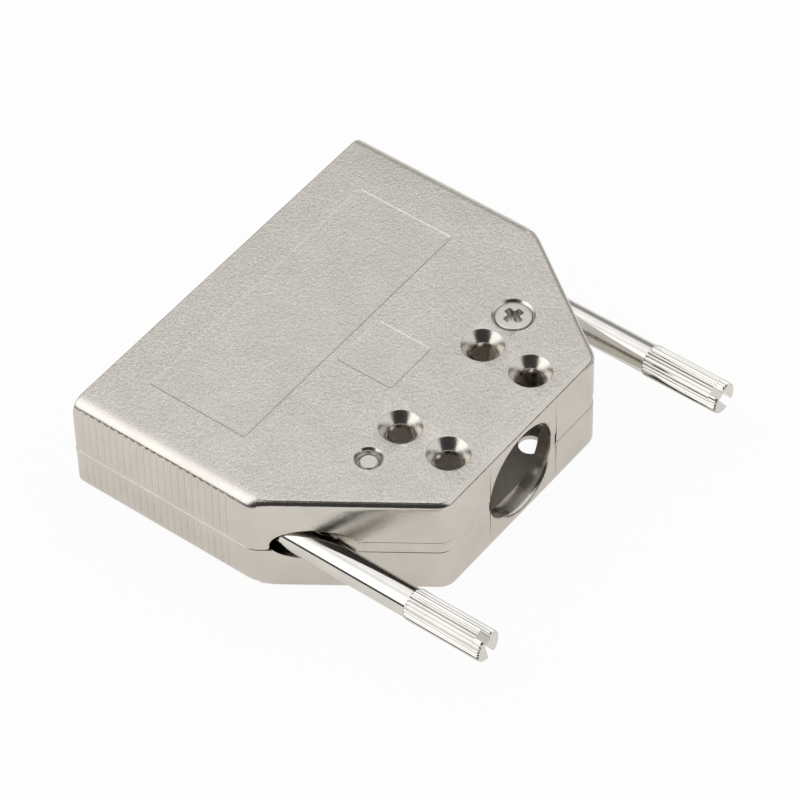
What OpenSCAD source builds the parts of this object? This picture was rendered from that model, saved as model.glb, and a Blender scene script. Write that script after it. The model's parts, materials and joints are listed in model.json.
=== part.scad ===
// Die-cast metal hood for a D-subminiature connector, with captive jackscrews.
// Origin: centre of the mating face. +Y leaves the hood towards the connector,
// +Z is the side that carries the upper shell. Both shells are one casting,
// turned half a turn about Y, so each feature of the lower shell appears on
// the upper one with X and Z reversed.

/* [Connector] */
// Distance between the two jackscrew axes
jack_spacing = 47.04; // [24.99:0.01:63.5]
// Distance from a jackscrew axis to the near end of the connector's flange
flange_margin = 3; // [2.6:0.05:3.3]
// Height of the connector's flange
flange_h = 12.55; // [12:0.05:14]
// Thickness of the slot that holds the flange
flange_slot = 1.7; // [1.2:0.1:3]
// Gap between the flange and the slot on each side
flange_gap = 0.2; // [0.1:0.05:0.3]
// Thickness of the lip in front of the flange
lip_t = 1.2; // [0.8:0.1:2]
// Overlap of the lip on the flange, above and below
lip_overlap = 0.9; // [0.5:0.1:1.6]
// Skin left outside the flange slot, above and below
flange_skin = 0.93; // [0.7:0.01:2]

/* [Hood] */
// Length from the mating face to the cable face
hood_l = 45.1; // [42:0.1:60]
// Length of the straight ribbed sides
side_l = 26.3; // [24.5:0.1:28]
// Width of the cable face between its corners
end_w = 29.1; // [22:0.1:34]
// Thickness of the casting above and below the cable space
floor_t = 1.8; // [1.6:0.1:2.4]
// Wall beside each jackscrew channel
side_wall = 1.43; // [1.1:0.01:2]
// Wall of the slanted faces
slant_wall = 1.8; // [1.2:0.1:2.6]
// Radius of the long edges of the ribbed sides
side_edge_r = 1.95; // [1:0.05:3]
// Radius of the top and bottom edges of the slanted and cable faces
end_edge_r = 0.5; // [0.2:0.05:1]
// Radius of the top and bottom edges of the mating face
mating_edge_r = 0.25; // [0.1:0.05:0.5]
// Radius of the upright corners at the mating face
mating_corner_r = 0.8; // [0.3:0.1:1.5]
// Radius of the upright corners between the ribbed and the slanted faces
side_corner_r = 3; // [1:0.1:5]
// Radius of the upright corners between the slanted and the cable faces
end_corner_r = 2.5; // [1:0.1:3.5]

/* [Seam] */
// Height of the interlocking step, above and below the middle
seam_step = 0.85; // [0.4:0.05:1.4]
// How far a shell's raised rim stands back from its wall
rim_inset = 0.08; // [0.04:0.01:0.2]
// Width of the fine groove along the seam
seam_groove_w = 0.16; // [0.08:0.02:0.4]
// Depth of the fine groove along the seam
seam_groove_d = 0.3; // [0.1:0.05:0.6]

/* [Cable outlet] */
// Radius of the cable outlet
outlet_r = 6.1; // [4:0.1:6.6]
// Chamfer around the cable outlet
outlet_chamfer = 0.4; // [0.1:0.05:0.6]
// Wall around the cable outlet
outlet_wall = 2.3; // [1.5:0.1:3]

/* [Clamp screw holes] */
// Distance between clamp holes across the hood
clamp_pitch_x = 16.04; // [14:0.02:18]
// Distance between clamp holes along the hood
clamp_pitch_y = 6.96; // [6:0.02:8]
// Distance from the cable face to the nearer pair of clamp holes
clamp_back = 4.85; // [4.7:0.05:5.4]
// Radius of a clamp hole
clamp_hole_r = 1.45; // [1.1:0.05:1.7]
// Radius of each countersink at the surface
sink_r = 2.6; // [2.4:0.05:3]

/* [Assembly screws] */
// Distance from the middle to an assembly screw, across the hood
post_x = 14.1; // [13.6:0.1:15]
// Radius of the posts that take the assembly screws
post_r = 2.9; // [2.4:0.1:3.1]
// Outer radius of the assembly screw's thread
screw_r = 1.45; // [1.2:0.05:1.5]
// Gap between the screw's thread and its hole
screw_gap = 0.05; // [0.02:0.01:0.1]
// Radius of the screw's head
screw_head_r = 2.25; // [2:0.05:2.35]
// Depth of the screw's head below the surface
screw_sunk = 0.12; // [0.05:0.01:0.2]
// Depth of the screw's tip below the far surface
screw_tip_sunk = 0.55; // [0.3:0.05:2]
// Radius of the flat end of the screw
screw_tip_r = 0.95; // [0.6:0.05:1.1]
// Span of the cross recess
cross_span = 2.3; // [1.8:0.1:2.6]
// Width of the recess's arms
cross_w = 0.55; // [0.4:0.05:0.8]
// Depth of the cross recess
cross_depth = 1.1; // [0.6:0.1:1.3]

/* [Jackscrews] */
// Radius of the jackscrew's rod
rod_r = 1.9; // [1.8:0.05:2]
// Gap between the rod and the webs that guide it
rod_gap = 0.25; // [0.2:0.05:0.3]
// Radius of the hole where the rod leaves the slanted face
rod_hole_r = 2.65; // [2.5:0.05:2.75]
// Outer radius of the jackscrew's thread
thread_r = 1.42; // [1.2:0.01:1.5]
// How far the thread stands out of the mating face when pulled back
tip_out = 1.5; // [0.5:0.1:3]
// Travel of the jackscrew along its axis
travel = 5; // [3:0.1:6]
// Gap between the rod's shoulder and the flange slot when pushed forward
shoulder_gap = 0.3; // [0.2:0.1:1]
// Radius of the knurled head over its ridges
head_r = 2.02; // [1.95:0.01:2.4]
// Length of the knurled head
head_l = 10.8; // [8:0.1:14]
// Distance from the cable face back to the knurled head
head_back = 1.6; // [0.5:0.1:6]
// Depth of the knurling
knurl_depth = 0.14; // [0.05:0.01:0.2]
// Number of ridges around the knurled head
knurl_count = 30; // [20:1:40]
// Chamfer at the ends of the knurled head
head_chamfer = 0.3; // [0.1:0.05:0.5]
// Width of the screwdriver slot
slot_w = 0.8; // [0.6:0.05:1.2]
// Depth of the screwdriver slot
slot_depth = 1.3; // [0.8:0.1:2]
// Turn of the left jackscrew's slot about its axis
left_slot_turn = 20; // [-90:1:90]
// Turn of the right jackscrew's slot about its axis
right_slot_turn = 60; // [-90:1:90]

/* [Retaining rings] */
// Outer radius of the ring that keeps a jackscrew captive
ring_r = 2.55; // [2.5:0.05:2.8]
// Thickness of the ring
ring_t = 0.7; // [0.5:0.05:1]
// Radius of the groove under the ring
groove_r = 1.5; // [1.3:0.05:1.6]
// Running gap between the ring and its groove
ring_gap = 0.05; // [0.03:0.01:0.08]
// Opening in the ring
ring_opening = 1.4; // [0.8:0.1:2]
// Gap around the ring in its channel, and at each end of its travel
channel_gap = 0.3; // [0.2:0.05:0.5]
// Thickness of the webs that guide each jackscrew
web_t = 1.4; // [1:0.1:2]
// Thickness of the walls between the channels and the cable space
partition_t = 1.2; // [0.8:0.1:1.6]

/* [Grip ribs] */
// Distance between the grooves of the ribbed sides
rib_pitch = 1.02; // [0.8:0.02:1.5]
// Distance from the mating face to the first groove
rib_start = 1.4; // [1:0.1:3]
// Plain length left at the rear end of the ribbed sides
rib_end = 3; // [2.5:0.1:6]
// Width of each groove
rib_w = 0.45; // [0.2:0.05:0.7]
// Depth of each groove
rib_depth = 0.14; // [0.05:0.01:0.25]
// Plain band above the seam on the shell whose rim is raised
rib_gap_over = 0.45; // [0.2:0.05:1]
// Plain band beyond the seam on the other shell
rib_gap_under = 0.75; // [0.3:0.05:1.5]

/* [Label] */
// Length of the label recess across the hood
label_l = 40.3; // [20:0.1:44]
// Width of the label recess
label_w = 14.3; // [8:0.1:14.5]
// Distance from the mating face to the label recess
label_back = 5.5; // [3:0.1:6]
// Side of the small square recess
badge_w = 8.1; // [5:0.1:8.4]
// Gap between the label recess and the small square
badge_gap = 0.95; // [0.5:0.05:1.2]
// Depth of the label recess and the small square
label_depth = 0.14; // [0.08:0.01:0.3]

/* [Hidden] */
$fn = 64;
over = 1;
tiny_r = 0.2;

// Heights
slot_half_h = flange_h / 2 + flange_gap;
half_h = slot_half_h + flange_skin;
inner_half_h = half_h - floor_t;
mouth_half_h = flange_h / 2 - lip_overlap;
// Widths
jack_x = jack_spacing / 2;
channel_half = ring_r + channel_gap;
half_w = jack_x + channel_half + side_wall;
flange_end = jack_x + flange_margin + flange_gap;
mouth_half_w = flange_end - flange_gap - lip_overlap / 2;
partition_x = jack_x - channel_half - partition_t;
// Places along the hood, measured back from the mating face
cavity_front = lip_t + flange_slot;
shoulder_back = cavity_front + shoulder_gap + travel;
front_web = shoulder_back + web_t / 2;
ring_back = front_web + web_t + channel_gap + travel + ring_t / 2;
rear_web = ring_back + ring_t / 2 + channel_gap;
head_front = hood_l + head_back;
rear_row = hood_l - clamp_back;
front_row = rear_row - clamp_pitch_y;
// The place along the slanted face where a jackscrew's axis leaves it
slant_run = (hood_l - side_l) / (half_w - end_w / 2);
exit_back = side_l + (half_w - jack_x) * slant_run;
rib_count = floor((side_l - rib_end - rib_start) / rib_pitch) + 1;
nickel = [0.78, 0.76, 0.72];
bright_nickel = [0.86, 0.85, 0.82];

// ---- outline geometry ----
function unit(v) = v / norm(v);
// Direction from an edge towards the inside of an anticlockwise outline
function inward(a, b) = let(d = unit(b - a)) [-d[1], d[0]];
// Point where the line through p along d meets the line through q along e
function meet(p, d, q, e) =
    p + d * ((q - p)[0] * e[1] - (q - p)[1] * e[0]) / (d[0] * e[1] - d[1] * e[0]);
function before(list, i) = list[(i + len(list) - 1) % len(list)];
function after(list, i) = list[(i + 1) % len(list)];
// An anticlockwise convex outline with each edge moved in by its own gap
function inset_outline(pts, gaps) = [
    for (i = [0:len(pts) - 1])
        let(a = before(pts, i), b = pts[i], c = after(pts, i))
        meet(a + inward(a, b) * before(gaps, i), b - a, b + inward(b, c) * gaps[i], c - b)
];

// A convex outline whose corners are true arcs
module rounded_outline(pts, radii) {
    arcs = [
        for (i = [0:len(pts) - 1])
            let(to_a = unit(before(pts, i) - pts[i]),
                to_c = unit(after(pts, i) - pts[i]),
                half = acos(to_a * to_c) / 2,
                run = radii[i] / tan(half))
            [pts[i] + to_a * run, pts[i] + to_c * run,
             pts[i] + unit(to_a + to_c) * radii[i] / sin(half)]
    ];
    polygon([for (arc = arcs) each [arc[0], arc[1]]]);
    for (i = [0:len(pts) - 1])
        translate(arcs[i][2]) circle(r = radii[i]);
}

function rectangle(x0, x1, y0, y1) = [[x1, y1], [x0, y1], [x0, y0], [x1, y0]];

hood_outline = [[half_w, 0], [-half_w, 0], [-half_w, -side_l],
                [-end_w / 2, -hood_l], [end_w / 2, -hood_l], [half_w, -side_l]];
hood_radii = [mating_corner_r, mating_corner_r, side_corner_r,
              end_corner_r, end_corner_r, side_corner_r];
cavity_outline = inset_outline(hood_outline,
    [cavity_front, side_wall, slant_wall, outlet_wall, slant_wall, side_wall]);

// ---- the hood's outer form ----
// A long bar along the edge from a to b, rounded along its upper and lower rims
module edge_bar(a, b, r) {
    direction = b - a;
    length = norm(direction);
    translate([a[0], a[1], 0])
        rotate([90, 0, atan2(direction[1], direction[0]) + 90])
            translate([0, 0, -length])
                linear_extrude(3 * length)
                    rounded_outline(rectangle(-2 * hood_l, 0, -half_h, half_h),
                                    [r, tiny_r, tiny_r, r]);
}

// The hood's outline, moved in by inset, with its edges rounded
module outer_form(inset) {
    outline = inset_outline(hood_outline, [for (p = hood_outline) inset]);
    intersection() {
        translate([0, 0, -half_h])
            linear_extrude(2 * half_h)
                rounded_outline(outline, [for (r = hood_radii) max(tiny_r, r - inset)]);
        rotate([90, 0, 0])
            linear_extrude(hood_l)
                rounded_outline(rectangle(-half_w + inset, half_w - inset, -half_h, half_h),
                                [for (i = [0:3]) side_edge_r - inset]);
        rotate([90, 0, 90])
            linear_extrude(2 * half_w, center = true)
                rounded_outline(rectangle(-hood_l + inset, -inset, -half_h, half_h),
                                [mating_edge_r, end_edge_r, end_edge_r, mating_edge_r]);
        edge_bar(outline[3], outline[2], end_edge_r);
        mirror([1, 0, 0]) edge_bar(outline[3], outline[2], end_edge_r);
    }
}

// ---- hollows ----
module along_y(x, from_back, to_back, r) {
    translate([x, -from_back, 0])
        rotate([90, 0, 0]) cylinder(r = r, h = to_back - from_back);
}

module slab(x0, x1, from_back, to_back, z0, z1) {
    translate([x0, -to_back, z0]) cube([x1 - x0, to_back - from_back, z1 - z0]);
}

module cavity() {
    translate([0, 0, -inner_half_h])
        linear_extrude(2 * inner_half_h) polygon(cavity_outline);
}

// Hollow for the connector: the mouth and the flange slot behind its lip
module connector_seat() {
    slab(-mouth_half_w, mouth_half_w, -over, cavity_front + over, -mouth_half_h, mouth_half_h);
    slab(-flange_end, flange_end, lip_t, cavity_front, -slot_half_h, slot_half_h);
}

module outlet() {
    along_y(0, hood_l - outlet_wall - over, hood_l + over, outlet_r);
    translate([0, -hood_l, 0])
        rotate([-90, 0, 0])
            translate([0, 0, -over])
                cylinder(r1 = outlet_r + outlet_chamfer + over, r2 = outlet_r,
                         h = outlet_chamfer + over);
}

// ---- structure inside the hood ----
// Webs and wall that make one jackscrew's channel
module jackscrew_channel() {
    intersection() {
        cavity();
        union() {
            slab(partition_x, partition_x + partition_t, front_web, hood_l, -half_h, half_h);
            for (back = [front_web, rear_web])
                slab(partition_x, half_w, back, back + web_t, -half_h, half_h);
        }
    }
}

module posts() {
    for (x = [-post_x, post_x])
        translate([x, -front_row, -inner_half_h - floor_t / 2])
            cylinder(r = post_r, h = 2 * inner_half_h + floor_t);
}

// ---- features cut from the surface ----
// A hole through one floor with a right-angled countersink at z = -half_h
module countersunk_hole(r, depth) {
    translate([0, 0, -half_h - over]) cylinder(r = r, h = depth + over);
    translate([0, 0, -half_h - over])
        cylinder(r1 = sink_r + over, r2 = r, h = sink_r + over - r);
}

module label_recesses() {
    badge_back = label_back + label_w + badge_gap;
    translate([0, 0, -half_h - over])
        linear_extrude(label_depth + over) {
            rounded_outline(rectangle(-label_l / 2, label_l / 2,
                                      -label_back - label_w, -label_back),
                            [for (i = [0:3]) 2 * tiny_r]);
            rounded_outline(rectangle(-badge_w / 2, badge_w / 2,
                                      -badge_back - badge_w, -badge_back),
                            [for (i = [0:3]) 2 * tiny_r]);
        }
}

// Grooves of one ribbed side of the lower shell, up to the height top
module rib_grooves(side, top) {
    for (i = [0:rib_count - 1])
        translate([side * half_w, -rib_start - i * rib_pitch, 0])
            slab(-rib_depth, rib_depth, -rib_w / 2, rib_w / 2, -half_h - over, top);
}

// ---- the stepped seam ----
// Plan of the parts of the lower shell whose rim is raised above the middle:
// beside the mating face on the right, beside the cable face on the left
module raised_plan() {
    polygon([[0, over], [half_w + over, over], [half_w + over, -exit_back],
             [post_x + post_r + tiny_r, -exit_back],
             [post_x + post_r + tiny_r, -front_row + post_r + tiny_r],
             [0, -front_row + post_r + tiny_r]]);
    polygon([[0, -hood_l - over], [-half_w - over, -hood_l - over],
             [-half_w - over, -exit_back], [-post_x - post_r - tiny_r, -exit_back],
             [-post_x - post_r - tiny_r, -front_row + post_r + tiny_r],
             [0, -front_row + post_r + tiny_r]]);
}

module below_seam() {
    translate([-half_w - over, -hood_l - over, -half_h - over])
        cube([2 * (half_w + over), hood_l + 2 * over, half_h + over - seam_step]);
}

module raised_rim() {
    translate([0, 0, -seam_step - over])
        linear_extrude(2 * seam_step + over) raised_plan();
}

// Fine groove along the outside of the lower shell's seam faces
module seam_groove() {
    difference() {
        translate([-half_w - over, -hood_l - over, -seam_step - seam_groove_w / 2])
            cube([2 * (half_w + over), hood_l + 2 * over, seam_groove_w]);
        translate([0, 0, -half_h])
            linear_extrude(2 * half_h)
                rounded_outline(inset_outline(hood_outline, [for (p = hood_outline) seam_groove_d]),
                                hood_radii);
        raised_rim();
    }
    difference() {
        intersection() {
            translate([0, 0, seam_step - seam_groove_w / 2])
                linear_extrude(seam_groove_w) raised_plan();
        }
        translate([0, 0, -half_h])
            linear_extrude(2 * half_h)
                rounded_outline(inset_outline(hood_outline, [for (p = hood_outline) seam_groove_d]),
                                hood_radii);
    }
}

// ---- the casting ----
module casting() {
    difference() {
        union() {
            intersection() {
                outer_form(0);
                below_seam();
            }
            intersection() {
                outer_form(rim_inset);
                raised_rim();
            }
        }
        difference() {
            union() {
                cavity();
                connector_seat();
            }
            jackscrew_channel();
            mirror([1, 0, 0]) jackscrew_channel();
            posts();
        }
        outlet();
        for (side = [-1, 1]) {
            along_y(side * jack_x, front_web - over, rear_web + web_t + over, rod_r + rod_gap);
            along_y(side * jack_x, rear_web + web_t + over, hood_l, rod_hole_r);
            for (back = [front_row, rear_row])
                translate([side * clamp_pitch_x / 2, -back, 0])
                    countersunk_hole(clamp_hole_r, floor_t + over);
        }
        translate([-post_x, -front_row, 0]) countersunk_hole(screw_r + screw_gap, 2 * half_h);
        translate([post_x, -front_row, -half_h - over])
            cylinder(r = screw_r + screw_gap, h = 2 * half_h + 2 * over);
        label_recesses();
        rib_grooves(-1, -seam_step - rib_gap_under);
        rib_grooves(1, seam_step - rib_gap_over);
        seam_groove();
    }
}

module lower_shell() {
    color(nickel) casting();
}

module upper_shell() {
    color(nickel) rotate([0, 180, 0]) casting();
}

// ---- assembly screws ----
// A countersunk cross-recess screw with its head up at z = half_h
module assembly_screw() {
    head_top = half_h - screw_sunk;
    cone_top = half_h - (sink_r - screw_head_r) + screw_gap;
    cone_h = screw_head_r - screw_r;
    tip = -half_h + screw_tip_sunk;
    tip_h = screw_r - screw_tip_r;
    difference() {
        union() {
            translate([0, 0, cone_top]) cylinder(r = screw_head_r, h = head_top - cone_top);
            translate([0, 0, cone_top - cone_h])
                cylinder(r1 = screw_r, r2 = screw_head_r, h = cone_h);
            translate([0, 0, tip + tip_h])
                cylinder(r = screw_r, h = cone_top - cone_h - tip - tip_h);
            translate([0, 0, tip]) cylinder(r1 = screw_tip_r, r2 = screw_r, h = tip_h);
        }
        for (turn = [0, 90])
            rotate([0, 0, turn])
                translate([-cross_span / 2, -cross_w / 2, head_top - cross_depth])
                    cube([cross_span, cross_w, cross_depth + over]);
    }
}

module assembly_screw_top() {
    color(bright_nickel) translate([post_x, -front_row, 0]) assembly_screw();
}

module assembly_screw_bottom() {
    color(bright_nickel) rotate([0, 180, 0]) translate([post_x, -front_row, 0]) assembly_screw();
}

// ---- jackscrews ----
module knurled_head() {
    points = 2 * knurl_count;
    intersection() {
        translate([0, -head_front, 0])
            rotate([90, 0, 0])
                linear_extrude(head_l)
                    polygon([for (i = [0:points - 1])
                        (head_r - (i % 2) * knurl_depth)
                        * [cos(i * 360 / points), sin(i * 360 / points)]]);
        translate([0, -head_front, 0])
            rotate([90, 0, 0])
                union() {
                    cylinder(r1 = head_r - head_chamfer, r2 = head_r, h = head_chamfer);
                    translate([0, 0, head_chamfer])
                        cylinder(r = head_r + tiny_r, h = head_l - 2 * head_chamfer);
                    translate([0, 0, head_l - head_chamfer])
                        cylinder(r1 = head_r, r2 = head_r - head_chamfer, h = head_chamfer);
                }
    }
}

module jackscrew(slot_turn) {
    thread_end = tip_out - thread_r / 3;
    difference() {
        union() {
            knurled_head();
            along_y(0, shoulder_back, head_front + over, rod_r);
            along_y(0, -thread_end, shoulder_back + over, thread_r);
            translate([0, thread_end, 0])
                rotate([-90, 0, 0])
                    cylinder(r1 = thread_r, r2 = thread_r * 2 / 3, h = tip_out - thread_end);
        }
        difference() {
            along_y(0, ring_back - ring_t / 2 - ring_gap, ring_back + ring_t / 2 + ring_gap, rod_r + over);
            along_y(0, ring_back - over, ring_back + over, groove_r);
        }
        rotate([0, slot_turn, 0])
            slab(-slot_w / 2, slot_w / 2, head_front + head_l - slot_depth,
                 head_front + head_l + over, -head_r - over, head_r + over);
    }
}

module jackscrew_left() {
    color(bright_nickel) translate([-jack_x, 0, 0]) jackscrew(left_slot_turn);
}

module jackscrew_right() {
    color(bright_nickel) translate([jack_x, 0, 0]) jackscrew(right_slot_turn);
}

// ---- retaining rings ----
module retaining_ring(side) {
    difference() {
        along_y(side * jack_x, ring_back - ring_t / 2, ring_back + ring_t / 2, ring_r);
        along_y(side * jack_x, ring_back - over, ring_back + over, groove_r + ring_gap);
        slab(side * jack_x - ring_opening / 2, side * jack_x + ring_opening / 2,
             ring_back - over, ring_back + over, 0, ring_r + over);
    }
}

module retaining_ring_left() {
    color(bright_nickel) retaining_ring(-1);
}

module retaining_ring_right() {
    color(bright_nickel) retaining_ring(1);
}

upper_shell();
lower_shell();
assembly_screw_top();
assembly_screw_bottom();
jackscrew_left();
jackscrew_right();
retaining_ring_left();
retaining_ring_right();
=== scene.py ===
import json
import math

import bmesh
import bpy
import numpy as np
from bpy.props import (FloatProperty, FloatVectorProperty, IntProperty,
                       PointerProperty)
from mathutils import Matrix, Vector, geometry


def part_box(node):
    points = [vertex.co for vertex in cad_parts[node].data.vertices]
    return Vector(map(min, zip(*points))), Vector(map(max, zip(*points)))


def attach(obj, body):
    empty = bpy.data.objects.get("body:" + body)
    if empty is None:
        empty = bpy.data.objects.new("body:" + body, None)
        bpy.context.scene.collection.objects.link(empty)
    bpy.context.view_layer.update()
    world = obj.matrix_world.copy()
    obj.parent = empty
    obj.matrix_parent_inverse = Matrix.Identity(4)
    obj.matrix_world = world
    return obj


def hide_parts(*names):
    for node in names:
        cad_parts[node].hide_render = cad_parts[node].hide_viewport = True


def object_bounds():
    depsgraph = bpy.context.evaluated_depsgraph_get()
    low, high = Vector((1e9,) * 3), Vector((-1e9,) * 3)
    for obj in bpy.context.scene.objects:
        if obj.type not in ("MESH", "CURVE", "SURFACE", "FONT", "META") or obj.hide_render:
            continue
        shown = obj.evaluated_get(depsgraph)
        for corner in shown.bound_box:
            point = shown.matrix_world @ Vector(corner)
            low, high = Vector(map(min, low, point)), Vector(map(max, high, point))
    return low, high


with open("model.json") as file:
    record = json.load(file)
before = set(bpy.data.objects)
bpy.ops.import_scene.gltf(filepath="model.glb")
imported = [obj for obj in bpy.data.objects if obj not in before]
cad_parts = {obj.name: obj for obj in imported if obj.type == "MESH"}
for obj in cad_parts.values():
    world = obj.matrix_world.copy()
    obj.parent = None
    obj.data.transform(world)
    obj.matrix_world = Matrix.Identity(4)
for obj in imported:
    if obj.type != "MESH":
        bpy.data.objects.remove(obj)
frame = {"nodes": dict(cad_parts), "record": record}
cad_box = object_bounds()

bl_info = {
    "name": "D-sub hood",
    "version": (1, 0, 0),
    "blender": (4, 5, 0),
    "location": "View3D > Sidebar > D-sub hood",
    "description": "Builds the nickel-plated shells and screws of a connector hood",
    "category": "Add Mesh",
}

MM = 0.001
HOOD = "hood"
MOUNTS = {mount["name"]: mount for mount in frame["record"]["mounts"]}
shell_low, shell_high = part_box("upper_shell")
jack_low, jack_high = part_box("jackscrew_right")
screw_low, screw_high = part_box("assembly_screw_top")
ring_low, ring_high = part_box("retaining_ring_right")

# Sizes that the solids give, in millimetres
HALF_W = shell_high.x / MM
HALF_H = shell_high.z / MM
HOOD_L = -shell_low.y / MM
SEAM = -shell_low.z / MM
JACK_X = MOUNTS["jackscrew_thread_right"]["pos_m"][0] / MM
THREAD_R = MOUNTS["jackscrew_thread_right"]["dims"]["r_mm"]
OUTLET_R = MOUNTS["cable_outlet"]["dims"]["r_mm"]
CLAMPS = MOUNTS["clamp_holes_top"]
CLAMP_R = CLAMPS["dims"]["hole_r_mm"]
CLAMP_X = CLAMPS["dims"]["spacing_x_mm"] / 2
CLAMP_Y = [CLAMPS["pos_m"][1] / MM + sign * CLAMPS["dims"]["spacing_y_mm"] / 2
           for sign in (-1, 1)]
POST_X = (screw_low.x + screw_high.x) / 2 / MM
POST_Y = (screw_low.y + screw_high.y) / 2 / MM
HEAD_R = (screw_high.x - screw_low.x) / 2 / MM
RING_R = ring_high.x / MM - JACK_X
RING_FRONT, RING_BACK = -ring_high.y / MM, -ring_low.y / MM
JACK_FRONT, JACK_REAR = jack_high.y / MM, jack_low.y / MM
KNURL_R = (jack_high.x - jack_low.x) / 2 / MM

# Sizes of the hollows, in millimetres, as the solids have them: where the lip of the mouth and
# the flange's slot end behind the mating face, and half the width and height of each
LIP_BACK, FLANGE_BACK = 1.2, 2.9
MOUTH = (JACK_X + 2.55, 5.375)
SLOT = (JACK_X + 3.2, 6.475)
# Radii of the bore of a post and of the post, and of the notch round a jackscrew's rod
BORE_R, POST_R = 1.5, 2.9
ROD_CLEAR = 2.15
# A jackscrew's channel: half its width, its inner wall from side to side, and the front and
# back of its webs behind the mating face
CHANNEL = RING_R + 0.3
PARTITION = (JACK_X - CHANNEL - 1.2, JACK_X - CHANNEL)
WEBS = ((8.9, 10.3), (RING_BACK + 0.3, RING_BACK + 1.7))

# Threads, in millimetres: radius of an assembly screw's shank, the pitches, and the depth and
# the flanks of the wave as shares of the pitch and of its height
SHANK_R = 1.45
JACK_PITCH, SCREW_PITCH = 0.635, 0.5
THREAD_DEPTH, THREAD_FLANK, THREAD_FLAT = 0.6, 1.3, 0.15

# Grip grooves, in millimetres: half the width of the V and the power that rounds its flanks,
# where it ends above the seam's lower and upper level, and where in the edge rounding
GROOVE_HALF_W, GROOVE_POWER = 0.22, 0.8
GROOVE_END_LOW, GROOVE_END_HIGH, GROOVE_FADE = 0.45, 0.75, 0.3
GROOVE_TOP = math.radians(62)
GROOVE_TOP_FADE, CROWN_TOP, CROWN_TOP_FADE = 0.1, 0.12, 0.6

# Points along curves. A hole's wall and the circle that ends it share their points.
HOLE_POINTS, SCREW_POINTS, KNURL_POINTS, THREAD_ROWS = 64, 72, 6, 150
EDGE_TURNS = np.radians([0, 8, 17, 26, 35, 43, 50, 54, 57, 60, 63, 67, 72, 80, 90])

# Points closer than this are merged and edges shorter than this are dissolved, in metres.
# Edges between faces that meet at more than the angle stay sharp.
MERGE, DEGENERATE = 4e-7, 1e-7
SHARP = math.radians(40)

# The camera's place in metres, its three axes, and its focal length in millimetres
CAMERA_PLACE = (-0.279245, -0.247490, 0.392693)
CAMERA_SIDE = Vector((0.60549, -0.79568, -0.01700))
CAMERA_RISE = Vector((0.59616, 0.43930, 0.67203))
CAMERA_BACK = Vector((-0.52725, -0.41704, 0.74034))
CAMERA_LENS, SENSOR_W = 200.97, 36.0
CAMERA_SHIFT = (0.00297, -0.0004)

# The studio: the way to the camera in plan, the way to the window, half the floor's side, and
# the lamp's place, size and power in watts
CAMERA_WAY = (-0.784, -0.620)
WINDOW_WAY = (-0.740, 0.417, 0.527)
FLOOR_HALF = 3.0
LAMP_PLACE, LAMP_SIZE, LAMP_POWER = (0.25, 0.20, 0.60), (0.4, 0.4), 0.12


# ---- sizes and colours -------------------------------------------------------------------

def length(name, description, default):
    """A length in millimetres that the sidebar shows."""
    return FloatProperty(name=name, description=description, default=default, min=0.0)


def colour(name, description, default):
    """A colour that the sidebar shows."""
    return FloatVectorProperty(name=name, description=description, default=default,
                               subtype="COLOR", size=3, min=0.0, max=1.0)


class HoodSizes(bpy.types.PropertyGroup):
    """Sizes of the shells, in millimetres."""
    side_l: length("Side length", "Length of the straight ribbed sides", 26.3)
    end_w: length("Cable face width", "Width of the cable face between its corners", 29.1)
    side_edge: length("Side edge radius", "Radius of the long edges of the ribbed sides", 1.95)
    end_edge: length("End edge radius", "Radius of the edges of the slanted and cable faces", 0.8)
    edge_run: length("Edge run-out", "Length over which the edge radii blend", 3.0)
    front_edge: length("Mating edge radius", "Radius of the edge round the mating face", 0.25)
    side_corner: length("Side corner radius", "Radius between ribbed and slanted faces", 3.0)
    end_corner: length("End corner radius", "Radius between slanted and cable faces", 2.5)
    floor: length("Floor", "Thickness above the cable space", 1.8)
    side_wall: length("Side wall", "Thickness of the ribbed walls", 1.43)
    slant_wall: length("Slanted wall", "Thickness of the slanted walls", 1.8)
    outlet_wall: length("Cable wall", "Thickness of the wall round the cable outlet", 2.3)
    seam_round: length("Seam rounding", "Radius of the edges along the seam", 0.14)
    rim_inset: length("Rim inset", "How far the raised rim stands back", 0.08)
    rod_hole: length("Rod hole width", "Half the width of the holes in the slanted walls", 2.95)
    arch_high: length("Deep arch", "Height of the rod's arch where the wall runs down", 2.65)
    arch_low: length("Shallow arch", "Height of the rod's arch where the wall stops short", 2.2)
    arch_round: length("Arch rounding", "Radius between the arch and the seam", 0.5)
    outlet_chamfer: length("Outlet chamfer", "Chamfer round the cable outlet", 0.4)
    sink_r: length("Countersink", "Radius of the countersinks at the surface", 2.6)
    rib_pitch: length("Rib pitch", "Distance between the grooves of the sides", 1.02)
    rib_start: length("First rib", "Distance from the mating face to the first groove", 1.4)
    rib_depth: length("Rib depth", "Depth of the grooves", 0.13)
    rib_crown: length("Rib crown", "Height of the crown between the grooves", 0.025)
    rib_count: IntProperty(name="Ribs", description="Number of grooves on each side", default=22)
    label_l: length("Label length", "Length of the label recess", 40.3)
    label_w: length("Label width", "Width of the label recess", 14.3)
    label_back: length("Label place", "Distance from the mating face to the label recess", 5.5)
    badge_w: length("Square", "Side of the small square recess", 8.1)
    badge_gap: length("Square gap", "Distance between the label recess and the square", 0.95)
    label_depth: length("Label depth", "Depth of the label recess and the square", 0.07)


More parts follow.
